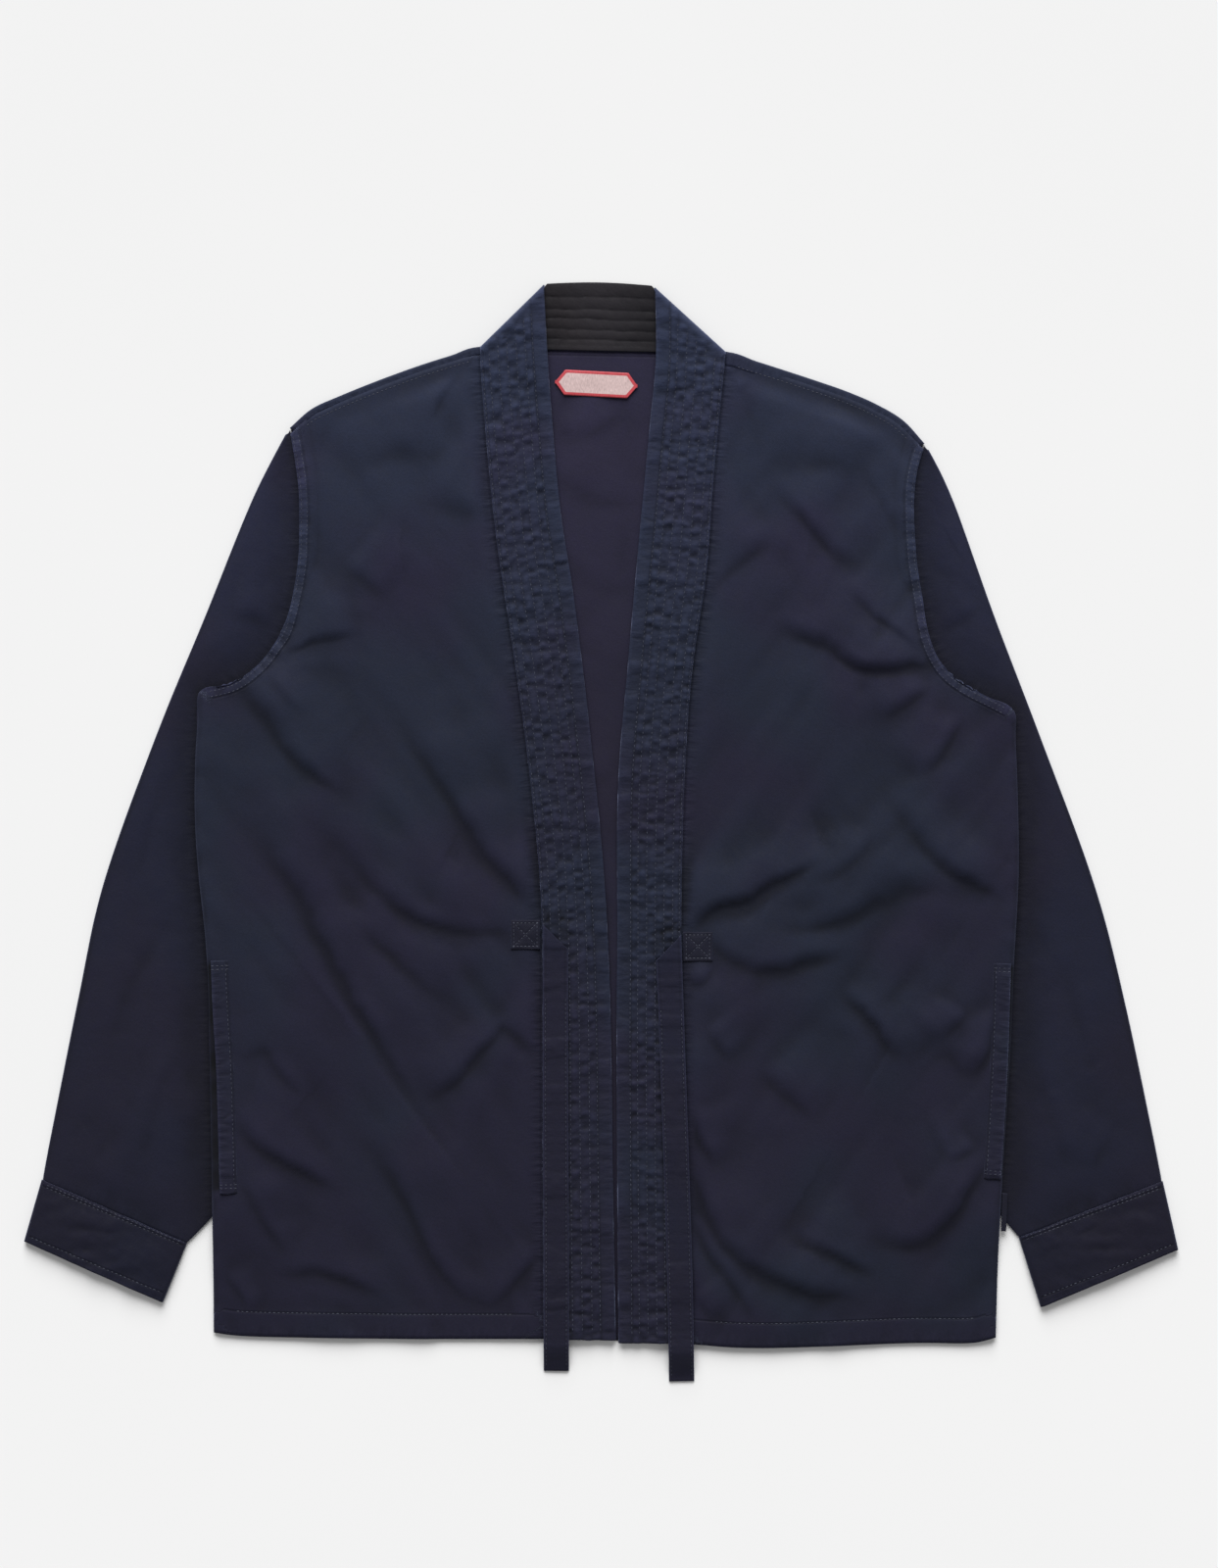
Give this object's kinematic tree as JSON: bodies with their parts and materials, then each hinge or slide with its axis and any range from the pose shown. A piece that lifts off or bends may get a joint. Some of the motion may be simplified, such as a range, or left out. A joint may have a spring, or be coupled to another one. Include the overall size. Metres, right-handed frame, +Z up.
{
  "type": "hanten shirt",
  "caption": "Open-fronted kimono-style jacket of navy cotton, laid flat on its back, with a stitched neck band, front ties, cuffed sleeves and side-seam pockets.",
  "frame": {"origin": "middle of the garment's outline, on the surface that it lies on", "axes": "+X across the garment to the wearer's left, +Y up to the collar, +Z up from the surface through the back to the fronts"},
  "size_m": [0.8238, 0.7847, 0.0119],
  "materials": {
    "navy_twill": "matte dark navy cotton twill, softly napped, with pressed creases",
    "navy_twill_inside": "matte inner face of the same navy cotton, slightly purple",
    "stitched_navy_band": "matte navy cotton, puckered by lengthwise rows of stitching",
    "black_quilted_lining": "matte brown-black quilted cotton",
    "navy_cuff": "matte darker navy cotton, pressed and edge-stitched",
    "black_twill": "matte black cotton twill tape",
    "woven_label": "satin-woven red label, left bare"
  },
  "bodies": {
    "root": {"back": "navy_twill_inside", "front_right": "navy_twill", "front_left": "navy_twill", "sleeve_right": "navy_twill", "sleeve_left": "navy_twill", "cuff_right": "navy_cuff", "cuff_left": "navy_cuff", "band_right": "stitched_navy_band", "band_left": "stitched_navy_band", "collar_back": "black_quilted_lining", "tie_right": "navy_twill", "tie_left": "navy_twill", "tie_tab_right": "black_twill", "tie_tab_left": "black_twill", "pocket_facing_right": "navy_twill", "pocket_facing_left": "navy_twill", "neck_label": "woven_label", "side_label": "black_twill"}
  },
  "joints": []
}
